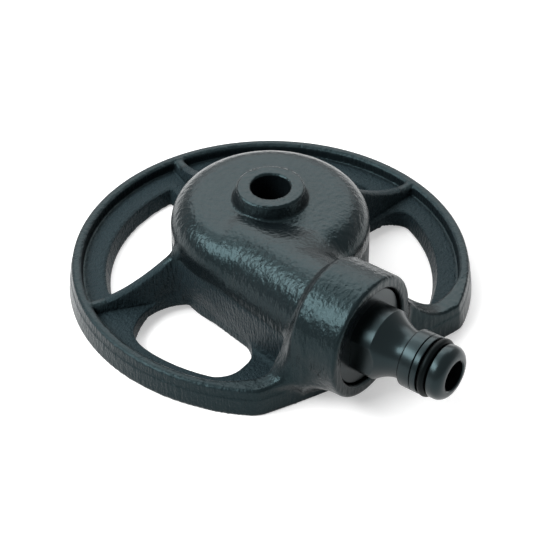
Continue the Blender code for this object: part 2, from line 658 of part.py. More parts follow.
def build_body(axis):
    body = turned("cast_body", ring_profile(), RING_STEPS)
    outline = flat_sided_disc(RING_RADIUS, CHORD_DISTANCE, CORNER_ROUND, RING_RADIUS + SPILL)
    combine(body, prism("foot_outline", outline, BELOW, RIM_HEIGHT + SPILL), "INTERSECT")
    left = between_ribs("left_opening", "back", "left", SIDE_OPENING_MARGIN, SIDE_LAND_BACK_RIB,
                        SIDE_LAND_LEFT_RIB)
    back = between_ribs("back_opening", "right", "back", BACK_OPENING_MARGIN, BACK_LAND, BACK_LAND)
    for cut in (left_front_opening(), left, back, right_opening()):
        combine(body, cut, "DIFFERENCE")
    for side in RIB_ANGLES:
        combine(body, rib(side), "UNION")
    combine(body, flat_side_wall(), "UNION")
    combine(body, turned("dome", dome_profile(), DOME_STEPS), "UNION")
    combine(body, neck(), "UNION")
    boss = turned("inlet_boss", boss_profile(), DOME_STEPS)
    boss.parent = axis
    combine(body, boss, "UNION")
    trim_underside(body)
    combine(body, turned("swirl_chamber", chamber_profile(), DOME_STEPS), "DIFFERENCE")
    nozzle = rod("nozzle_bore", NOZZLE_RADIUS, CHAMBER_TOP - SPILL, COLLAR_TOP + SPILL, BORE_STEPS)
    combine(body, nozzle, "DIFFERENCE")
    thread_end = SEAT_FLOOR - THREAD_BORE_DEPTH
    passage = rod("inlet_passage", PASSAGE_RADIUS, -BOSS_FACE, thread_end + SPILL, BORE_STEPS // 2)
    seat = turned("adapter_seat", seat_profile(), BORE_STEPS)
    thread = threaded("inlet_thread", thread_end, SEAT_FLOOR + SPILL, THREAD_CLEARANCE, 0.0)
    for tool in (passage, seat, thread):
        tool.parent = axis
        combine(body, tool, "DIFFERENCE")
    finish_round(body)
    give_material(body, "painted_cast_iron", (0.105, 0.130, 0.135), 0.0, 0.38)


def trim_underside(body):
    # Everything stands on the ground plane, with a shallow recess inside the rim and the flat side
    ground = prism("ground_trim", [(-FAR, -FAR), (FAR, -FAR), (FAR, FAR), (-FAR, FAR)], -FAR, 0.0)
    combine(body, ground, "DIFFERENCE")
    radius = RING_RADIUS - RIM_WALL
    outline = flat_sided_disc(radius, CHORD_DISTANCE - FLAT_WALL, RECESS_CORNER, radius)
    combine(body, prism("underside_recess", outline, BELOW, UNDERSIDE), "DIFFERENCE")


head_axis = add_axis("head_axis", (0.0, NOZZLE_Y, 0.0), (0.0, 0.0, 0.0))
inlet_place = (-INLET_OFFSET, -BOSS_FACE, INLET_HEIGHT)
inlet_axis = add_axis("inlet_axis", inlet_place, (radians(90.0), 0.0, 0.0), head_axis)
build_body(inlet_axis)
build_plug()
build_adapter(inlet_axis)
build_rubber(inlet_axis)
for piece in bpy.context.scene.objects:
    if piece.parent is None and piece is not head_axis:
        piece.parent = head_axis
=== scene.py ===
# Looks for the stationary lawn sprinkler: the painted casting, its hose adapter and the studio around them.

from math import cos, radians, sin, sqrt

import bmesh
import bpy
import numpy as np
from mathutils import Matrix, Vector


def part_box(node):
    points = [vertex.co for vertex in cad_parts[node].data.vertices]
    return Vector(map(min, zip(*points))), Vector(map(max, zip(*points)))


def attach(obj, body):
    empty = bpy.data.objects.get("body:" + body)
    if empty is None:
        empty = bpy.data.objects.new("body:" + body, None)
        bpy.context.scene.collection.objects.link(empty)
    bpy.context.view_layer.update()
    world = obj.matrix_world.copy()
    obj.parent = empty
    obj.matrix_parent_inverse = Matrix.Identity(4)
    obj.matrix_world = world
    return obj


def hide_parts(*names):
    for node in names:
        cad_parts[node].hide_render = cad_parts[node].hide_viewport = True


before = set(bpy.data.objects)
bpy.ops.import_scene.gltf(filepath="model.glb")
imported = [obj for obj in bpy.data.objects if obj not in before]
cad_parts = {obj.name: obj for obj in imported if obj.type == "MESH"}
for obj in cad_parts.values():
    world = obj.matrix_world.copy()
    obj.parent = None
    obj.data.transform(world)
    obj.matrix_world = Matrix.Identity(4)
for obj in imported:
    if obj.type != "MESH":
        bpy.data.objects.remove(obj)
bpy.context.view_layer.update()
mm = 0.001

# Places read from the frame: the foot is round about the nozzle's axis, the adapter sits on the inlet's axis
bodyLow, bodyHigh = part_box("cast_body")
adapterLow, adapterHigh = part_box("hose_adapter")
ringRadius = (bodyHigh.x - bodyLow.x) / 2.0
nozzleY = bodyHigh.y - ringRadius
inletX = (adapterLow.x + adapterHigh.x) / 2.0
inletZ = (adapterLow.z + adapterHigh.z) / 2.0


def hexColour(text):
    # sRGB hex to the linear values that Blender's sockets hold
    channels = [int(text[i:i + 2], 16) / 255.0 for i in (1, 3, 5)]
    return (*[c / 12.92 if c <= 0.04045 else ((c + 0.055) / 1.055) ** 2.4 for c in channels], 1.0)


def addNode(owner, kind, settings=None, **links):
    # One node with its settings; a link's value is an output socket, anything else is set on the socket.
    # A link is named for its socket, or in0, in1 and so on for the socket's place where names repeat
    node = owner.node_tree.nodes.new("ShaderNode" + kind)
    for name, value in (settings or {}).items():
        setattr(node, name, value)
    for name, value in links.items():
        socket = node.inputs[int(name[2:]) if name[2:].isdigit() else name.replace("_", " ")]
        if isinstance(value, bpy.types.NodeSocket):
            owner.node_tree.links.new(value, socket)
        else:
            socket.default_value = value
    return node


# Casting, in millimetres about the nozzle's axis; a span is where something fades in, from none to full

casting = {
    # Foot: the rim, the web inside it and the recess underneath
    "rimWidth": 3.8, "rimTop": 8.4, "rimOuterRound": 0.75, "rimInnerRound": 1.1, "rimFoot": 0.7,
    "rimDraft": 0.115, "rimTopSlope": 0.85, "webTop": 5.2, "underside": 2.2, "bottomRound": 0.8,
    "sharperBottomSpan": (38.0, 44.0), "sharperBottom": 0.75,
    "recessRadius": 46.8, "recessRamp": 6.0, "flatBand": 6.5,
    # Flat side, a little bowed, and the wall on it that climbs to the boss
    "chordDistance": 49.0, "chordAngle": -112.0, "cornerRound": 0.9,
    "flatBow": 300.0, "bowMiddle": -5.0, "bowOut": 0.95,
    "wallRise": 12.0, "leftWallRise": 1.8, "wallRisePower": 1.9, "wallSpan": (34.0, 39.0), "wallEnd": 1.9,
    "wallLean": 0.12, "wallWidth": 5.4, "wallSpread": 5.6, "pocketCorner": 7.0,
    "leftSpreadRun": 12.5, "leftSpreadPower": 1.5, "leftSpreadMost": 0.4,
    # Ribs
    "backRib": 67.0, "ribSpacing": 80.0, "leftRibShift": 1.0, "ribRoot": 20.8, "ribRidge": 1.3,
    "ribFoot": 3.1, "ribStart": 10.0, "ribEndInset": 3.2, "ribTipInset": 1.5, "ribTipDrop": 0.1,
    "ribClimbPower": 1.65, "ribClimbMost": 1.2, "ribFlare": 1.6, "ribTopSlope": 0.8, "ribTopRound": 0.8,
    "ribFillet": 0.7, "ribRootFillet": 2.5, "ribRootSpan": (40.0, 28.0),
    # Openings: each one's circle, the lands beside it and its corners
    "leftOpening": {"radius": 48.4, "firstLand": 6.6, "lastLand": 4.7, "corner": 1.4},
    "backOpening": {"radius": 48.3, "firstLand": 8.0, "lastLand": 8.4, "corner": 2.5},
    "frontOpening": {
        "radius": 50.6, "bowX": -37.5, "bowY": 1.0, "bowRadius": 15.9, "ribCorner": 2.5,
        "front": 19.9, "frontCorner": 5.0, "flankTurn": -11.5, "flankLand": 26.6,
        "flankCorner": 1.0, "flankCornerGrowth": 6.0, "flankCornerSpan": (2.0, 16.0),
    },
    "rightOpening": {"radius": 49.1, "ribLand": 3.9, "ribCorner": 5.5, "side": 8.2, "sideCorner": 2.0},
    "openingDraft": 1.6, "draftLimits": (-0.3, 1.2), "openingEdge": 0.5,
    # The front opening's trim of the head's foot
    "trimLand": 0.3, "trimLean": 0.3, "trimLeanFrom": 5.0, "trimInside": 27.4, "trimTop": 18.0,
    "trimEdge": 0.8,
    # Dome and nozzle collar
    "domeRadius": 28.8, "domeTop": 30.4, "domeShoulder": 8.6, "domeCrown": 0.3, "domeFillet": 2.6,
    "headRound": 1.8, "collarTop": 35.0, "collarRadius": 9.7, "collarFoot": 11.0, "collarEdge": 0.22,
    "collarFillet": 0.6, "nozzleRadius": 5.8, "nozzleLow": 15.0, "nozzleEdge": 0.15,
    # Inlet boss
    "bossRadius": 18.4, "bossLength": 16.2, "bossFace": 50.4, "bossFrontRound": 1.2, "bossBackRound": 2.2,
    "bossFillet": 1.6, "bossLowFillet": 5.0, "bossLowSpan": (30.0, 18.0),
    "seatRadius": 14.8, "seatDepth": 6.9, "seatEdge": 0.6, "threadRadius": 10.25, "threadDepth": 12.4,
    "passageRadius": 4.8,
    # Neck between dome and boss
    "neckTopStep": 2.1, "neckSideStep": 3.5, "neckTuck": 1.2, "neckStart": 8.0, "neckStartRise": 14.4,
    "neckStartHalf": 12.7, "neckStartInset": 1.6, "neckStartHeight": 16.5, "neckStartRound": 9.0,
    "neckOverlap": 3.0, "neckFillet": 1.1, "neckEndFillet": 5.0, "neckEndSpan": (-6.0, -20.0),
    # The full fillet between the head and the wall, and where it is
    "wallFillet": 10.0, "wallFilletLow": 1.5, "wallFilletSpan": (0.0, 9.0), "bowlOutSpan": (-0.5, 0.5),
    "bowlFrontSpan": (-16.0, -20.0), "bowlAlongSpan": (4.0, -8.0),
    # Cored chamber and the plug's bore
    "chamberRadius": 24.8, "chamberTop": 25.6, "chamberCorner": 6.0, "plugBore": 25.6, "plugSeat": 5.5,
    # The skin: sandy low down, smoother on the wall and the rim, turned on the boss's face and the collar
    "smoothSpan": (15.5, 19.0), "wallSkinSpan": (2.0, 4.5), "wallSkin": 0.85, "faceSpan": (0.6, 0.0),
    "seatSkinLand": 0.2, "seatSkinDepth": 8.0, "collarSkinDepth": 0.5, "rimSkinSpan": (-5.5, -4.0),
    "rimTopSkinSpan": (6.4, 8.0), "rimTopSkinWidth": 8.0, "rimSkin": 0.75, "leastSandy": 0.12,
    "steepSpan": (0.8, 0.4),
    # The grid that the skin is drawn from
    "grid": 0.45, "gridMargin": 1.0, "gridFront": 9.0, "probe": 0.02,
}


def roundMax(a, b, r):
    # Where two distances meet in an outer edge of radius r
    return np.minimum(np.maximum(a, b), -r) + np.hypot(np.maximum(a + r, 0.0), np.maximum(b + r, 0.0))


def roundMin(a, b, r):
    # Where two distances meet in a fillet of radius r
    return np.maximum(np.minimum(a, b), r) - np.hypot(np.maximum(r - a, 0.0), np.maximum(r - b, 0.0))


def smoothShare(low, high, value):
    # 0 at low, 1 at high, with an even start and end
    share = np.clip((value - low) / (high - low), 0.0, 1.0)
    return share * share * (3.0 - 2.0 * share)


def turnedBy(angle, x, y):
    # Distances along and across a direction in the ground plane
    cosine, sine = cos(radians(angle)), sin(radians(angle))
    return x * cosine + y * sine, y * cosine - x * sine


def openingBetween(x, y, shape, first, last):
    # Bounded by a circle and by the lands beside two ribs, first before last counter-clockwise
    away = -turnedBy(first, x, y)[1] + shape["firstLand"]
    near = turnedBy(last, x, y)[1] + shape["lastLand"]
    besideFirst = roundMax(np.hypot(x, y) - shape["radius"], away, shape["corner"])
    return roundMax(besideFirst, near, shape["corner"])


def openings(x, y):
    # Distances to the foot's four openings, below zero inside them
    c = casting
    back, left, right = c["backRib"], c["backRib"] + c["ribSpacing"], c["backRib"] - c["ribSpacing"]
    spread = np.hypot(x, y)
    leftCut = openingBetween(x, y, c["leftOpening"], back, left)
    backCut = openingBetween(x, y, c["backOpening"], right, back)
    # Beside the neck: bowed out beside the left rib, straight along the flank, round at the front
    shape = c["frontOpening"]
    besideRib = np.hypot(x - shape["bowX"], np.maximum(y - shape["bowY"], 0.0)) - shape["bowRadius"]
    besideNeck = turnedBy(shape["flankTurn"], x, y)[0] + shape["flankLand"]
    frontCut = roundMax(spread - shape["radius"], besideRib, shape["ribCorner"])
    frontCut = roundMax(frontCut, -shape["front"] - y, shape["frontCorner"])
    growth = shape["flankCornerGrowth"] * smoothShare(*shape["flankCornerSpan"], -y)
    frontCut = roundMax(frontCut, besideNeck, shape["flankCorner"] + growth)
    shape = c["rightOpening"]
    besideRib = turnedBy(right, x, y)[1] + shape["ribLand"]
    rightCut = roundMax(spread - shape["radius"], besideRib, shape["ribCorner"])
    rightCut = roundMax(rightCut, shape["side"] - x, shape["sideCorner"])
    return leftCut, backCut, frontCut, rightCut


def flatSide(x, y):
    # How far out towards the foot's flat side, which is a little bowed, and how far along it
    c = casting
    outward, along = turnedBy(c["chordAngle"], x, y)
    return outward + (along - c["bowMiddle"]) ** 2 / (2.0 * c["flatBow"]) - c["bowOut"], along


def footEdge(x, y):
    # Distance to the foot's outline: a circle with one flat side
    c = casting
    outward = flatSide(x, y)[0]
    return roundMax(np.hypot(x, y) - ringRadius / mm, outward - c["chordDistance"], c["cornerRound"])


def wallField(x, y):
    # The flat side's wall: how far out a place is, how far out the wall begins there, how far along it the
    # place is, and its share of the climb to the boss
    c = casting
    outward, along = flatSide(x, y)
    end = sqrt((ringRadius / mm) ** 2 - c["chordDistance"] ** 2) - c["wallEnd"]
    bossAlong = turnedBy(c["chordAngle"], inletX / mm, c["bossLength"] / 2.0 - c["bossFace"])[1]
    share = np.minimum((end - along) / (end - bossAlong - c["bossRadius"]),
                       (along + end) / (end + bossAlong - c["bossRadius"]))
    share = np.clip(share, 0.0, 1.0)
    leftSpread = np.clip((along + end) / c["leftSpreadRun"], 0.0, 1.0) ** c["leftSpreadPower"]
    spread = np.where(along < 0.0, np.minimum(leftSpread, c["leftSpreadMost"]), share)
    inner = c["chordDistance"] - c["wallWidth"] - c["wallSpread"] * spread
    return outward, inner, along, share


def ribField(out, across, z):
    # One rib: a ridge that climbs from the rim to the dome and widens down to the web
    c = casting
    radius = ringRadius / mm
    tip = radius - c["rimWidth"] - c["ribTipInset"]
    climb = np.clip((tip - out) / (tip - c["domeRadius"]), 0.0, c["ribClimbMost"])
    top = c["rimTop"] - c["ribTipDrop"] + (c["ribRoot"] - c["rimTop"]) * climb ** c["ribClimbPower"]
    drop = np.clip((top - z) / (c["ribRoot"] - c["webTop"]) * c["ribFlare"], 0.0, 1.0)
    half = c["ribRidge"] + (c["ribFoot"] - c["ribRidge"]) * drop
    rib = roundMax(np.abs(across) - half, (z - top) * c["ribTopSlope"], c["ribTopRound"])
    return np.maximum(np.maximum(rib, c["ribStart"] - out), out - (radius - c["ribEndInset"]))


def footField(x, y, z):
    c = casting
    outward, inner, along, share = wallField(x, y)
    # The wall climbs from the rim's ends to the boss's sides
    rise = np.where(along < 0.0, c["leftWallRise"], c["wallRise"])
    rimTop = c["rimTop"] + rise * share ** c["wallRisePower"] * smoothShare(*c["wallSpan"], outward)
    outer = footEdge(x, y) + np.maximum(z - c["rimTop"], 0.0) * c["wallLean"] + z * c["rimDraft"]
    rim = roundMax(outer, (z - rimTop) * c["rimTopSlope"], c["rimOuterRound"])
    # The pocket inside the rim has round corners where the wall begins
    pocket = roundMax(np.hypot(x, y) - ringRadius / mm + c["rimWidth"], outward - inner, c["pocketCorner"])
    rim = roundMax(rim, -pocket, c["rimInnerRound"])
    web = np.maximum(outer, z - c["webTop"])
    foot = roundMin(rim, web, c["rimFoot"])
    for i in (-1, 0, 1):
        out, across = turnedBy(c["backRib"] + i * c["ribSpacing"], x, y)
        if i == 1:
            across = across - c["leftRibShift"]
        fillet = c["ribFillet"] + c["ribRootFillet"] * smoothShare(*c["ribRootSpan"], out)
        foot = roundMin(foot, ribField(out, across, z), fillet)
    # Openings, cut with draft
    lean = c["openingDraft"] * np.clip((c["webTop"] - z) / c["webTop"], *c["draftLimits"])
    for cut in openings(x, y):
        foot = roundMax(foot, -(cut + lean), c["openingEdge"])
    return foot


def neckField(x, y, z):
    # An arch on upright flanks, which grows from the dome's side into the boss
    c = casting
    far = c["bossLength"] - c["bossFace"]
    share = (c["neckStart"] - y) / (c["neckStart"] - far)
    startX = c["neckStartHalf"] + c["neckStartInset"] - c["domeRadius"]
    side = x - (startX + (inletX / mm - startX) * share)
    half = c["neckStartHalf"] + (c["bossRadius"] - c["neckSideStep"] - c["neckStartHalf"]) * share
    rise = c["neckStartRise"] + (c["bossRadius"] - c["neckTopStep"] - c["neckStartRise"]) * share
    spring = c["neckStartHeight"] + (inletZ / mm - c["neckStartHeight"]) * share
    arch = (np.hypot(side / half, np.maximum(z - spring, 0.0) / rise) - 1.0) * half
    flank = np.abs(side) - half + c["neckTuck"] * np.maximum(spring - z, 0.0) / spring
    neck = np.where(z > spring, arch, flank)
    neck = roundMax(neck, y - c["neckStart"], c["neckStartRound"])
    return np.maximum(neck, (far - c["neckOverlap"]) - y)


def castField(x, y, z):
    # Distance to the casting's skin, below zero in the iron
    c = casting
    spread = np.hypot(x, y)
    foot = footField(x, y, z)
    crown = c["domeTop"] + c["domeCrown"] * (1.0 - np.clip(spread / c["domeRadius"], 0.0, 1.0) ** 2)
    dome = roundMax(spread - c["domeRadius"], z - crown, c["domeShoulder"])
    # The crease beside the neck's top is sharpest beside the collar
    crease = c["neckFillet"] + (c["neckEndFillet"] - c["neckFillet"]) * smoothShare(*c["neckEndSpan"], y)
    head = roundMin(dome, neckField(x, y, z), crease)
    head = roundMax(head, c["underside"] - z, c["headRound"])
    bossSpread = np.hypot(x - inletX / mm, z - inletZ / mm)
    boss = roundMax(bossSpread - c["bossRadius"], -c["bossFace"] - y, c["bossFrontRound"])
    boss = roundMax(boss, y - (c["bossLength"] - c["bossFace"]), c["bossBackRound"])
    low = smoothShare(*c["bossLowSpan"], z)
    head = roundMin(head, boss, c["bossFillet"] + (c["bossLowFillet"] - c["bossFillet"]) * low)
    slope = (c["collarFoot"] - c["collarRadius"]) / (c["collarTop"] - c["domeTop"])
    collarSide = spread - c["collarFoot"] + slope * (z - c["domeTop"])
    collar = roundMax(collarSide, z - c["collarTop"], c["collarEdge"])
    head = roundMin(head, collar, c["collarFillet"])
    # The fillet round the head is full in the bowl between the neck and the wall, and small everywhere else
    outward, inner, along = wallField(x, y)[:3]
    bowl = smoothShare(*c["bowlOutSpan"], outward - inner) * smoothShare(*c["bowlFrontSpan"], y)
    bowl = bowl * smoothShare(*c["bowlAlongSpan"], along)
    growth = (c["wallFillet"] - c["wallFilletLow"]) * smoothShare(*c["wallFilletSpan"], z)
    wallFillet = c["wallFilletLow"] + growth
    whole = roundMin(foot, head, c["domeFillet"] + (wallFillet - c["domeFillet"]) * bowl)
    # The opening beside the neck also trims the foot of the head, with a lean that runs out up the flank
    trim = openings(x, y)[2] + c["trimLand"] + c["trimLean"] * np.maximum(z - c["trimLeanFrom"], 0.0)
    trim = np.maximum(trim, c["trimInside"] - spread)
    whole = roundMax(whole, -np.maximum(trim, z - c["trimTop"]), c["trimEdge"])
    # Recessed underside; the bottom edge is sharper along the flat side
    band = c["chordDistance"] - c["flatBand"]
    recess = np.maximum(spread - c["recessRadius"], turnedBy(c["chordAngle"], x, y)[0] - band)
    roof = c["underside"] * np.clip(-recess / c["recessRamp"], 0.0, 1.0)
    whole = np.maximum(whole, roof - z)
    sharper = c["sharperBottom"] * smoothShare(*c["sharperBottomSpan"], outward)
    whole = roundMax(whole, -z, c["bottomRound"] * (1.0 - sharper))
    # Bored and cored holes
    nozzle = np.maximum(spread - c["nozzleRadius"], c["nozzleLow"] - z)
    whole = roundMax(whole, -nozzle, c["nozzleEdge"])
    chamber = roundMax(spread - c["chamberRadius"], z - c["chamberTop"], c["chamberCorner"])
    plugHole = np.maximum(spread - c["plugBore"], z - c["plugSeat"])
    chamber = np.minimum(np.maximum(chamber, c["underside"] - z), plugHole)
    whole = np.maximum(whole, -chamber)
    seatFloor = y + c["bossFace"] - c["seatDepth"]
    seat = np.maximum(bossSpread - c["seatRadius"], seatFloor)
    thread = np.maximum(bossSpread - c["threadRadius"], seatFloor - c["threadDepth"])
    passage = np.maximum(bossSpread - c["passageRadius"], y)
    whole = roundMax(whole, -seat, c["seatEdge"])
    return np.maximum(whole, -np.minimum(thread, passage))


def surfaceNet(field, corner, step):
    # Vertices in the grid cells that the zero level crosses, and a quad for each grid edge that it crosses
    inside = field < 0.0
    n = [s - 1 for s in field.shape]
    count = np.zeros(n, np.int8)
    corners = [(i, j, k) for i in (0, 1) for j in (0, 1) for k in (0, 1)]
    for i, j, k in corners:
        count += inside[i:i + n[0], j:j + n[1], k:k + n[2]]
    cells = np.argwhere((count > 0) & (count < 8))
    index = np.full(n, -1, np.int32)
    index[tuple(cells.T)] = np.arange(len(cells))
    values = {o: field[cells[:, 0] + o[0], cells[:, 1] + o[1], cells[:, 2] + o[2]] for o in corners}
    total = np.zeros((len(cells), 3))
    weight = np.zeros(len(cells))
    for low in corners:
        for axis in range(3):
            if low[axis]:
                continue
            high = tuple(1 if a == axis else low[a] for a in range(3))
            a, b = values[low], values[high]
            crossed = (a < 0.0) != (b < 0.0)
            t = np.where(crossed, a / np.where(crossed, a - b, 1.0), 0.0)
            point = np.array(low, float) + t[:, None] * np.eye(3)[axis]
            total += np.where(crossed[:, None], point, 0.0)
            weight += crossed
    points = np.array(corner) + step * (cells + total / weight[:, None])
    quads = []
    for axis in range(3):
        u, v = [a for a in range(3) if a != axis]
        low = [slice(1, s - 1) for s in field.shape]
        low[axis] = slice(0, field.shape[axis] - 1)
        high = list(low)
        high[axis] = slice(1, field.shape[axis])
        change = inside[tuple(low)] != inside[tuple(high)]
        edges = np.argwhere(change)
        starts = inside[tuple(low)][tuple(edges.T)]
        edges[:, u] += 1
        edges[:, v] += 1
        ring = []
        for du, dv in ((0, 0), (-1, 0), (-1, -1), (0, -1)):
            cell = edges.copy()
            cell[:, u] += du
            cell[:, v] += dv
            ring.append(index[tuple(cell.T)])
        ring = np.stack(ring, 1)
        turn = starts if axis != 1 else ~starts
        quads.append(np.where(turn[:, None], ring, ring[:, ::-1]))
    return points, np.concatenate(quads)


def fieldSlope(field, points):
    # Slope of the field along x, y and z, from a probe on either side
    reach = casting["probe"]
    slope = np.empty_like(points)
    for axis in range(3):
        step = np.zeros(3)
        step[axis] = reach
        ahead, behind = (points + step).T, (points - step).T
        slope[:, axis] = (field(*ahead) - field(*behind)) / (2.0 * reach)
    return slope


def meshFromField(name, field, low, high, step):
    axes = [np.arange(a, b + step, step) for a, b in zip(low, high)]
    x, y, z = np.ix_(*axes)
    grid = np.broadcast_to(field(x, y, z), [len(a) for a in axes]).astype(np.float32)
    points, quads = surfaceNet(grid, low, step)
    # Two rounds of Newton's method bring the points onto the skin; a slope below a half counts as a half
    for i in range(2):
        slope = fieldSlope(field, points)
        push = field(*points.T) / np.maximum((slope ** 2).sum(1), 0.25)
        points -= np.clip(push, -step, step)[:, None] * slope
    slope = fieldSlope(field, points)
    normals = slope / np.maximum(np.linalg.norm(slope, axis=1), 1e-6)[:, None]
    mesh = bpy.data.meshes.new(name)
    mesh.vertices.add(len(points))
    mesh.loops.add(len(quads) * 4)
    mesh.polygons.add(len(quads))
    mesh.loops.foreach_set("vertex_index", quads.ravel().astype(np.int32))
    mesh.polygons.foreach_set("loop_start", np.arange(0, len(quads) * 4, 4, dtype=np.int32))
    made = bpy.data.objects.new(name, mesh)
    bpy.context.scene.collection.objects.link(made)
    return made, points, normals


def setPoints(made, points):
    # Millimetres about the nozzle's axis to metres in the frame
    placed = points * mm
    placed[:, 1] += nozzleY
    made.data.vertices.foreach_set("co", placed.ravel().astype(np.float32))
    made.data.update(calc_edges=True)
    made.data.validate()
    made.data.shade_smooth()


def castSkin(points):
    # How rough the skin is: sandy on webs, openings' walls and low on the head, smooth where it was turned
    c = casting
    x, y, z = points.T
    low = 1.0 - smoothShare(*c["smoothSpan"], z)
    outward, inner = wallField(x, y)[:2]
    low *= 1.0 - c["wallSkin"] * smoothShare(*c["wallSkinSpan"], outward - inner)
    bossSpread = np.hypot(x - inletX / mm, z - inletZ / mm)
    inSeat = y < -c["bossFace"] + c["seatSkinDepth"]
    turnedSeat = (bossSpread < c["seatRadius"] + c["seatSkinLand"]) * inSeat
    turnedFace = smoothShare(*c["faceSpan"], y + c["bossFace"]) + turnedSeat
    turnedTop = (z > c["collarTop"] - c["collarSkinDepth"]) * (np.hypot(x, y) < c["collarFoot"])
    edge = footEdge(x, y)
    rimTop = smoothShare(*c["rimTopSkinSpan"], z) * (edge > -c["rimTopSkinWidth"])
    rim = np.maximum(smoothShare(*c["rimSkinSpan"], edge), rimTop)
    sandy = c["leastSandy"] + (1.0 - c["leastSandy"]) * low * (1.0 - c["rimSkin"] * rim)
    return np.clip(sandy * (1.0 - np.clip(turnedFace + turnedTop, 0.0, 1.0)), 0.0, 1.0)


def addPointValues(made, name, values):
    made.data.attributes.new(name, "FLOAT", "POINT").data.foreach_set("value", values.astype(np.float32))


def buildCasting(material):
    c = casting
    margin = c["gridMargin"]
    reach = ringRadius / mm + margin
    low = (-reach, -c["bossFace"] - c["gridFront"], -margin)
    high = (reach, reach, inletZ / mm + c["bossRadius"] + margin)
    made, points, normals = meshFromField("painted_casting", castField, low, high, c["grid"])
    setPoints(made, points)
    addPointValues(made, "castSkin", castSkin(points))
    addPointValues(made, "castSide", smoothShare(*c["steepSpan"], np.abs(normals[:, 2])))
    finishPiece(made, material, "casting", "cast_body")


# Hose adapter and its rubber, in millimetres along the inlet's axis, from the boss's face outwards

adapter = {
    "flangeRadius": 14.3, "flangeBack": -4.3, "flangeFront": -1.3, "flangeEdge": 0.3,
    "flats": 9.1, "bodyRadius": 10.3, "shoulderAt": 5.0, "shoulderRound": 0.35,
    "coveLength": 7.4, "covePower": 1.9, "coveMost": 1.2, "coveEnd": 0.1, "waist": 7.15,
    "collarStart": 13.4, "collarRadius": 8.5, "collarStep": 0.8, "lineAt": 17.7, "lineDepth": 0.35,
    "lineHalf": 0.25, "grooveStart": 19.6, "grooveEnd": 22.5, "grooveRadius": 6.0, "grooveEdge": 0.25,
    "noseBack": 0.6, "noseRadius": 7.95, "noseRound": 2.9, "noseSteps": 12, "length": 27.1,
    "bore": 4.5, "boreEdge": 0.3,
    "threadCrest": 10.4, "threadRoot": 9.4, "threadPitch": 1.814, "threadLength": 10.9, "threadLead": 1.5,
    "tailStep": 0.2, "tailBore": 7.4,
    "columns": 288, "coveStep": 0.12,
    "threadStep": 0.12,
}
creaseAngle = 24.0  # degrees; sharper edges of the turned pieces stay crisp
weldReach = 1e-7  # metres; joins the points of a row that lies on the axis


def bend(along, out, radius, start, end, steps=6):
    # Points (along, out) of an arc about a centre; 0 degrees points along, 90 degrees points out
    turns = [radians(start + (end - start) * i / steps) for i in range(steps + 1)]
    return [(along + radius * cos(t), out + radius * sin(t)) for t in turns]


def pieceFromRows(name, rows, columns, upright=False):
    # A closed skin round an axis; a row is a place along the axis and a radius, even or one for each column
    turns = np.linspace(0.0, 2.0 * np.pi, columns, endpoint=False)
    along = np.repeat([row[0] for row in rows], columns)
    out = np.concatenate([np.broadcast_to(row[1], columns) for row in rows])
    turn = np.tile(turns, len(rows))
    if upright:
        points = np.stack([out * np.cos(turn), out * np.sin(turn), along], 1) * mm
        points[:, 1] += nozzleY
    else:
        points = np.stack([out * np.cos(turn), -along, out * np.sin(turn)], 1) * mm
        points += np.array([inletX, nozzleY - casting["bossFace"] * mm, inletZ])
    index = np.arange(len(rows) * columns).reshape(len(rows), columns)
    ahead = np.roll(index, -1, 0)
    quads = np.stack([index, np.roll(index, -1, 1), np.roll(ahead, -1, 1), ahead], 2).reshape(-1, 4)
    mesh = bpy.data.meshes.new(name)
    mesh.from_pydata(points.tolist(), [], quads.tolist())
    builder = bmesh.new()
    builder.from_mesh(mesh)
    bmesh.ops.remove_doubles(builder, verts=builder.verts, dist=weldReach)
    bmesh.ops.recalc_face_normals(builder, faces=builder.faces)
    builder.to_mesh(mesh)
    builder.free()
    mesh.shade_smooth()
    mesh.set_sharp_from_angle(angle=radians(creaseAngle))
    made = bpy.data.objects.new(name, mesh)
    bpy.context.scene.collection.objects.link(made)
    return made


def finishPiece(made, material, body, node):
    made.data.materials.append(material)
    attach(made, body)
    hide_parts(node)
    print(made.name + ":", len(made.data.vertices), "points")


def bodyRadius(turn, along):
    # A round body with two flats for a spanner, swept in a cove down to the waist
    a = adapter
    run = np.clip((a["shoulderAt"] + a["coveLength"] - along) / a["coveLength"], 0.0, a["coveMost"])
    cove = a["waist"] + (a["bodyRadius"] - a["waist"]) * run ** a["covePower"]
    radius = -float(roundMax(-a["bodyRadius"], -cove, a["shoulderRound"]))
    # The least cosine only keeps the division away from zero; the flats are far from there
    leastCosine = 0.1
    return np.minimum(radius, a["flats"] / np.maximum(np.abs(np.cos(turn)), leastCosine))


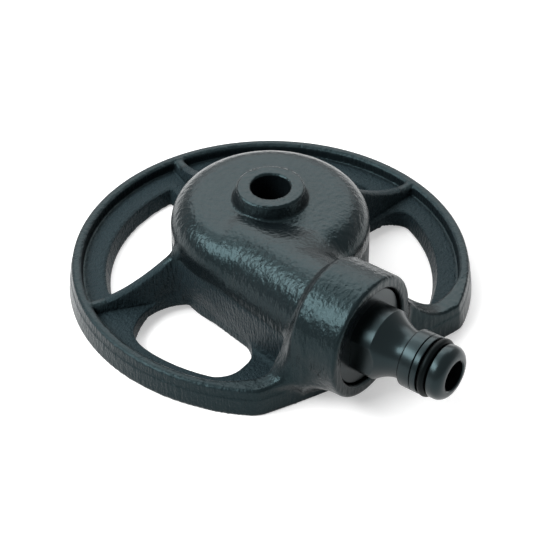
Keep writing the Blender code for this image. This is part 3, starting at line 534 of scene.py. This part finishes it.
def adapterRows():
    a = adapter
    turn = np.linspace(0.0, 2.0 * np.pi, a["columns"], endpoint=False)
    nose, noseBack, line = a["noseRound"], a["noseBack"], a["lineHalf"]
    grooveEdge, collarStep, flangeEdge = a["grooveEdge"], a["collarStep"], a["flangeEdge"]
    rows = [(a["length"] - a["boreEdge"], a["bore"]), (a["length"], a["bore"] + a["boreEdge"])]
    rows += bend(a["length"] - nose, a["noseRadius"] - nose, nose, 0.0, 90.0, a["noseSteps"])
    rows += bend(a["grooveEnd"] + noseBack, a["noseRadius"] - noseBack, noseBack, 90.0, 180.0)
    # The o-ring's groove, then the collar with its fine line
    rows += [(a["grooveEnd"], a["grooveRadius"]), (a["grooveStart"], a["grooveRadius"])]
    rows += bend(a["grooveStart"] - grooveEdge, a["collarRadius"] - grooveEdge, grooveEdge, 0.0, 90.0)
    rows += [(a["lineAt"] + line, a["collarRadius"]), (a["lineAt"], a["collarRadius"] - a["lineDepth"])]
    rows += [(a["lineAt"] - line, a["collarRadius"])]
    rows += bend(a["collarStart"] + collarStep, a["collarRadius"] - collarStep, collarStep, 90.0, 180.0)
    along = a["collarStart"] - a["coveEnd"]
    while along > a["flangeFront"]:
        rows.append((along, bodyRadius(turn, along)))
        along -= a["coveStep"]
    rows.append((a["flangeFront"], bodyRadius(turn, a["flangeFront"])))
    rim = a["flangeRadius"] - flangeEdge
    rows += bend(a["flangeFront"] - flangeEdge, rim, flangeEdge, 0.0, 90.0)
    rows += bend(a["flangeBack"] + flangeEdge, rim, flangeEdge, 90.0, 180.0)
    # Thread, faded out towards its tail
    middle = (a["threadCrest"] + a["threadRoot"]) / 2.0
    depth = (a["threadCrest"] - a["threadRoot"]) / 2.0
    tail = a["flangeBack"] - a["threadLength"]
    along = a["flangeBack"]
    while along > tail:
        wave = np.cos(turn - 2.0 * np.pi * along / a["threadPitch"])
        fade = min(1.0, (along - tail) / a["threadLead"])
        rows.append((along, a["threadRoot"] + (middle - a["threadRoot"] + depth * wave) * fade))
        along -= a["threadStep"]
    rows += [(tail, a["threadRoot"] - a["tailStep"]), (tail, a["tailBore"]), (a["flangeBack"], a["tailBore"])]
    rows += [(a["flangeFront"], a["bore"])]
    return rows


def buildAdapter(material):
    made = pieceFromRows("moulded_adapter", adapterRows(), adapter["columns"])
    finishPiece(made, material, "adapter", "hose_adapter")


washer = {
    "inside": 10.7, "outside": 13.8, "front": -4.6, "back": -6.6, "edge": 0.25, "steps": 4, "columns": 128,
}


def buildWasher(material):
    w = washer
    front, back = w["front"] - w["edge"], w["back"] + w["edge"]
    outside, inside = w["outside"] - w["edge"], w["inside"] + w["edge"]
    rows = []
    for i, (along, out) in enumerate(((front, outside), (back, outside), (back, inside), (front, inside))):
        rows += bend(along, out, w["edge"], 90.0 * i, 90.0 * i + 90.0, w["steps"])
    made = pieceFromRows("flange_washer", rows, w["columns"])
    finishPiece(made, material, "washer", "adapter_washer")


oRing = {"middle": 21.05, "radius": 7.5, "section": 1.15, "columns": 160, "steps": 24}


def buildORing(material):
    o = oRing
    rows = bend(o["middle"], o["radius"], o["section"], 0.0, 360.0, o["steps"])[:-1]
    made = pieceFromRows("rubber_o_ring", rows, o["columns"])
    finishPiece(made, material, "adapter", "nipple_o_ring")


# Chamber plug, in millimetres over the ground

plug = {
    "radius": 25.3, "low": 2.2, "high": 5.2, "edge": 0.6, "dishRadius": 19.0, "dishDepth": 0.5,
    "slopeIn": 1.0, "slopeOut": 0.5, "columns": 160,
}


def buildPlug(material):
    # A pressed disc with a shallow dish in its underside
    p = plug
    dish = p["low"] + p["dishDepth"]
    rows = [(dish, 0.0), (dish, p["dishRadius"] - p["slopeIn"]), (p["low"], p["dishRadius"] + p["slopeOut"])]
    rows += [(p["low"], p["radius"] - p["edge"]), (p["low"] + p["edge"], p["radius"])]
    rows += [(p["high"] - p["edge"], p["radius"]), (p["high"], p["radius"] - p["edge"]), (p["high"], 0.0)]
    made = pieceFromRows("pressed_plug", rows, p["columns"], upright=True)
    finishPiece(made, material, "casting", "chamber_plug")


# Materials


def newMaterial(name):
    material = bpy.data.materials.new(name)
    material.use_nodes = True
    return material, material.node_tree.nodes["Principled BSDF"]


# The patterns' sizes and depths are in millimetres. The sand's own grain is about 0.3, too fine to show, so
# grain and streaks are drawn coarser and deeper than they are
castPaint = {
    "colour": "#080c0e", "sandyColour": "#1c262a", "sheenColour": "#c0eef6", "ior": 1.32,
    "roughness": 0.24, "sandyRoughness": 0.36, "sheen": 0.5, "sandySheen": 0.22,
    "peelSize": 1.4, "peelDepth": 0.26, "peelStretch": 0.4, "peelDetail": 2.0, "peelHarshness": 0.45,
    "grainSize": 0.8, "grainDepth": 0.6, "grainDetail": 3.0, "grainHarshness": 0.6,
    "streakSize": 0.6, "streakDepth": 0.9, "streakStretch": 0.2, "streakTurn": 32.0, "streakDetail": 2.0,
    "streakHarshness": 0.5,
}


def glossPaintOnCastIron():
    # Green-black gloss enamel over a sand-cast skin: highlights broken up by orange peel and the sand's grain
    c = castPaint
    material, shader = newMaterial("gloss_enamel_on_cast_iron")
    link = material.node_tree.links.new
    shader.inputs["IOR"].default_value = c["ior"]
    shader.inputs["Specular Tint"].default_value = hexColour(c["sheenColour"])
    place = addNode(material, "TexCoord").outputs["Object"]
    skin = addNode(material, "Attribute", {"attribute_name": "castSkin"}).outputs["Fac"]
    steep = addNode(material, "Attribute", {"attribute_name": "castSide"}).outputs["Fac"]
    shade = addNode(material, "Mix", {"data_type": "RGBA"}, in0=skin, in6=hexColour(c["colour"]),
                    in7=hexColour(c["sandyColour"]))
    link(shade.outputs[2], shader.inputs["Base Color"])
    gloss = addNode(material, "MapRange", Value=skin, To_Min=c["roughness"], To_Max=c["sandyRoughness"])
    link(gloss.outputs["Result"], shader.inputs["Roughness"])
    # Sand-cast grain shades itself where it is seen from the side, so its sheen is weaker
    sheen = addNode(material, "MapRange", Value=skin, To_Min=c["sheen"], To_Max=c["sandySheen"])
    link(sheen.outputs["Result"], shader.inputs["Specular IOR Level"])
    # The paint ran a little down the sides before it set, so the peel is longer upwards
    run = addNode(material, "Mapping", Vector=place, Scale=(1.0, 1.0, c["peelStretch"]))
    peel = addNode(material, "TexNoise", Vector=run.outputs["Vector"], Scale=1.0 / (c["peelSize"] * mm),
                   Detail=c["peelDetail"], Roughness=c["peelHarshness"])
    peelBump = addNode(material, "Bump", Height=peel.outputs["Fac"], Strength=1.0,
                       Distance=c["peelDepth"] * mm)
    grain = addNode(material, "TexNoise", Vector=place, Scale=1.0 / (c["grainSize"] * mm),
                    Detail=c["grainDetail"], Roughness=c["grainHarshness"])
    # Streaks that the pattern left in the sand as it was drawn, on the steep sides of the rough skin
    streakPlace = addNode(material, "Mapping", Vector=place, Rotation=(radians(c["streakTurn"]), 0.0, 0.0),
                          Scale=(1.0, 1.0, c["streakStretch"]))
    streak = addNode(material, "TexNoise", Vector=streakPlace.outputs["Vector"],
                     Scale=1.0 / (c["streakSize"] * mm), Detail=c["streakDetail"],
                     Roughness=c["streakHarshness"])
    streakHeight = addNode(material, "Math", {"operation": "MULTIPLY"}, in0=streak.outputs["Fac"], in1=steep)
    scaled = addNode(material, "Math", {"operation": "MULTIPLY"}, in0=streakHeight.outputs["Value"],
                     in1=c["streakDepth"] / c["grainDepth"])
    mixed = addNode(material, "Math", {"operation": "ADD"}, in0=grain.outputs["Fac"],
                    in1=scaled.outputs["Value"])
    rough = addNode(material, "Math", {"operation": "MULTIPLY"}, in0=mixed.outputs["Value"], in1=skin)
    grainBump = addNode(material, "Bump", Height=rough.outputs["Value"], Strength=1.0,
                        Distance=c["grainDepth"] * mm, Normal=peelBump.outputs["Normal"])
    link(grainBump.outputs["Normal"], shader.inputs["Normal"])
    return material


nylonFinish = {"colour": "#07090a", "roughness": 0.28, "sheenColour": "#c0e6ee", "ior": 1.39}
rubberFinish = {"colour": "#030404", "roughness": 0.42, "sheenColour": "#c6e4ec", "ior": 1.18}
steelFinish = {"colour": "#101719", "roughness": 0.32, "sheenColour": "#c0eef6", "ior": 1.42}


def evenMaterial(name, finish):
    material, shader = newMaterial(name)
    shader.inputs["Base Color"].default_value = hexColour(finish["colour"])
    shader.inputs["Roughness"].default_value = finish["roughness"]
    shader.inputs["Specular Tint"].default_value = hexColour(finish["sheenColour"])
    shader.inputs["IOR"].default_value = finish["ior"]
    return material


def mouldedNylon():
    # Glass-filled nylon, injection moulded: satin black, with broad soft highlights
    return evenMaterial("moulded_black_nylon", nylonFinish)


def mouldedRubber():
    # Nitrile rubber, moulded: deep black with a narrow dull highlight
    return evenMaterial("moulded_nitrile_rubber", rubberFinish)


def paintedSteel():
    # Pressed steel disc under the casting's enamel: smoother than the sand-cast skin
    return evenMaterial("enamel_on_pressed_steel", steelFinish)


# Studio: distance and floorDrop are in millimetres, focal and picture in pixels, the other sizes in metres

studio = {
    "distance": 758.7, "azimuth": -53.5, "elevation": 39.8, "focal": 2574.0, "picture": 540.0, "sensor": 36.0,
    "shiftX": -0.0007, "shiftY": 0.0189, "farClip": 20.0,
    "floorSize": 6.0, "floorDrop": 0.05, "paper": 0.8, "paperRoughness": 0.9, "floorLift": 0.42,
    "worldLight": 0.25, "lampDistance": 1.0, "lampAim": 0.02,
}
softboxes = {
    "left_softbox": {"azimuth": -130.0, "elevation": 44.0, "size": (0.85, 0.4), "power": 14.5},
    "top_softbox": {"azimuth": 172.0, "elevation": 62.0, "size": (1.0, 0.5), "power": 4.2},
    "back_softbox": {"azimuth": 122.0, "elevation": 42.0, "size": (1.2, 0.7), "power": 7.5},
}


def lookAt(made, target):
    made.rotation_euler = (Vector(target) - made.location).to_track_quat("-Z", "Y").to_euler()


def directionOf(azimuth, elevation):
    a, e = radians(azimuth), radians(elevation)
    return Vector((sin(a) * cos(e), -cos(a) * cos(e), sin(e)))


def addCamera():
    s = studio
    data = bpy.data.cameras.new("camera")
    camera = bpy.data.objects.new("camera", data)
    bpy.context.scene.collection.objects.link(camera)
    aim = Vector((0.0, nozzleY, 0.0))
    camera.location = aim + directionOf(s["azimuth"], s["elevation"]) * s["distance"] * mm
    lookAt(camera, aim)
    data.sensor_width = s["sensor"]
    data.lens = s["focal"] / s["picture"] * data.sensor_width
    data.shift_x = s["shiftX"]
    data.shift_y = s["shiftY"]
    data.clip_end = s["farClip"]
    bpy.context.scene.camera = camera


def addSoftbox(name, box):
    data = bpy.data.lights.new(name, "AREA")
    data.shape = "RECTANGLE"
    data.size, data.size_y = box["size"]
    data.energy = box["power"]
    lamp = bpy.data.objects.new(name, data)
    bpy.context.scene.collection.objects.link(lamp)
    aim = Vector((0.0, nozzleY, studio["lampAim"]))
    lamp.location = aim + directionOf(box["azimuth"], box["elevation"]) * studio["lampDistance"]
    lookAt(lamp, aim)


def seenDirectly(owner):
    # 1 for the camera, for reflections and through glass, 0 where the surface only lights others
    rays = addNode(owner, "LightPath").outputs
    mirrored = addNode(owner, "Math", {"operation": "MAXIMUM"}, in0=rays["Is Glossy Ray"],
                       in1=rays["Is Transmission Ray"])
    seen = addNode(owner, "Math", {"operation": "MAXIMUM"}, in0=rays["Is Camera Ray"],
                   in1=mirrored.outputs["Value"])
    return seen.outputs["Value"]


def addFloor():
    s = studio
    mesh = bpy.data.meshes.new("studio_floor")
    half = s["floorSize"] / 2.0
    corners = [(-half, -half, 0), (half, -half, 0), (half, half, 0), (-half, half, 0)]
    mesh.from_pydata(corners, [], [(0, 1, 2, 3)])
    floor = bpy.data.objects.new("studio_floor", mesh)
    floor.location.z = -s["floorDrop"] * mm
    bpy.context.scene.collection.objects.link(floor)
    # White paper, lifted to white for the camera and in reflections; shadows stay in its lit part
    material, shader = newMaterial("white_studio_paper")
    shader.inputs["Base Color"].default_value = (s["paper"], s["paper"], s["paper"], 1.0)
    shader.inputs["Roughness"].default_value = s["paperRoughness"]
    shader.inputs["Specular IOR Level"].default_value = 0.0
    lift = addNode(material, "Math", {"operation": "MULTIPLY"}, in0=seenDirectly(material),
                   in1=s["floorLift"])
    glow = addNode(material, "Emission", Strength=lift.outputs["Value"])
    both = addNode(material, "AddShader", in0=shader.outputs["BSDF"], in1=glow.outputs["Emission"])
    output = material.node_tree.nodes["Material Output"]
    material.node_tree.links.new(both.outputs["Shader"], output.inputs["Surface"])
    mesh.materials.append(material)


def addWorld():
    # Pale as the paper where it is seen directly, dimmer as a lamp
    s = studio
    world = bpy.data.worlds.new("studio_white")
    world.use_nodes = True
    bpy.context.scene.world = world
    tree = world.node_tree
    lamp = tree.nodes["Background"]
    lamp.inputs["Color"].default_value = (1.0, 1.0, 1.0, 1.0)
    lamp.inputs["Strength"].default_value = s["worldLight"]
    pale = addNode(world, "Background", Color=(s["paper"], s["paper"], s["paper"], 1.0), Strength=1.0)
    mix = addNode(world, "MixShader", in0=seenDirectly(world), in1=lamp.outputs["Background"],
                  in2=pale.outputs["Background"])
    tree.links.new(mix.outputs["Shader"], tree.nodes["World Output"].inputs["Surface"])


enamel = glossPaintOnCastIron()
nylon = mouldedNylon()
rubber = mouldedRubber()
buildCasting(enamel)
buildAdapter(nylon)
buildWasher(rubber)
buildORing(rubber)
buildPlug(paintedSteel())
print("pieces built and dressed")

addCamera()
addFloor()
addWorld()
for name, box in softboxes.items():
    addSoftbox(name, box)
bpy.context.scene.view_settings.view_transform = "Standard"
print("studio set")
